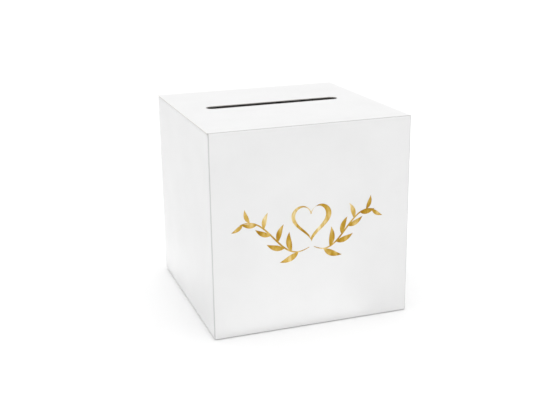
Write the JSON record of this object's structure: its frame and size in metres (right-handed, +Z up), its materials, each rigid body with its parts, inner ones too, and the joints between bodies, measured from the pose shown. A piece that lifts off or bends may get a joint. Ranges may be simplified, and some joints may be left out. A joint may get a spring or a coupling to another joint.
{
  "type": "wedding card box",
  "caption": "White self-assembly carton with a posting slot in its hinged tuck-in lid and a gold foil heart between leafy sprays on the front, for collecting cards and envelopes.",
  "frame": {"origin": "centre of the box's footprint, on the surface that it stands on", "axes": "+X to the box's right seen from the front, +Y to its back (the decorated front faces -Y), +Z up"},
  "size_m": [0.24, 0.2404, 0.24],
  "materials": {
    "white_laminated_board": "satin white laminate outside, uncoated off-white inside",
    "white_glue": "dried dispersion glue",
    "gold_foil": "hot-stamped gold foil"
  },
  "bodies": {
    "carton": {"front_panel": "white_laminated_board", "left_panel": "white_laminated_board", "back_panel": "white_laminated_board", "right_panel": "white_laminated_board", "glue_flap": "white_laminated_board", "glue_line": "white_glue", "bottom_front_flap": "white_laminated_board", "bottom_left_flap": "white_laminated_board", "bottom_right_flap": "white_laminated_board", "bottom_back_flap": "white_laminated_board", "foil_heart": "gold_foil", "foil_left_spray": "gold_foil", "foil_right_spray": "gold_foil"},
    "lid": {"lid_panel": "white_laminated_board"},
    "tuck": {"lid_tuck_flap": "white_laminated_board"},
    "left_dust": {"left_dust_flap": "white_laminated_board"},
    "right_dust": {"right_dust_flap": "white_laminated_board"}
  },
  "joints": [
    {"name": "lid_hinge", "type": "hinge", "parent": "carton", "child": "lid", "pos_m": [0, 0.12, 0.24], "axis": [-1, 0, 0], "range_deg": [0, 180]},
    {"name": "tuck_crease", "type": "hinge", "parent": "lid", "child": "tuck", "pos_m": [0, -0.1176, 0.239], "axis": [1, 0, 0], "range_deg": [0, 75]},
    {"name": "left_dust_crease", "type": "hinge", "parent": "carton", "child": "left_dust", "pos_m": [-0.12, 0, 0.2387], "axis": [0, -1, 0], "range_deg": [0, 90]},
    {"name": "right_dust_crease", "type": "hinge", "parent": "carton", "child": "right_dust", "pos_m": [0.12, 0, 0.2387], "axis": [0, 1, 0], "range_deg": [0, 90]}
  ],
  "couplings": [
    {"joint": "left_dust_crease", "follows": "lid_hinge", "ratio": 0.5},
    {"joint": "right_dust_crease", "follows": "lid_hinge", "ratio": 0.5}
  ]
}
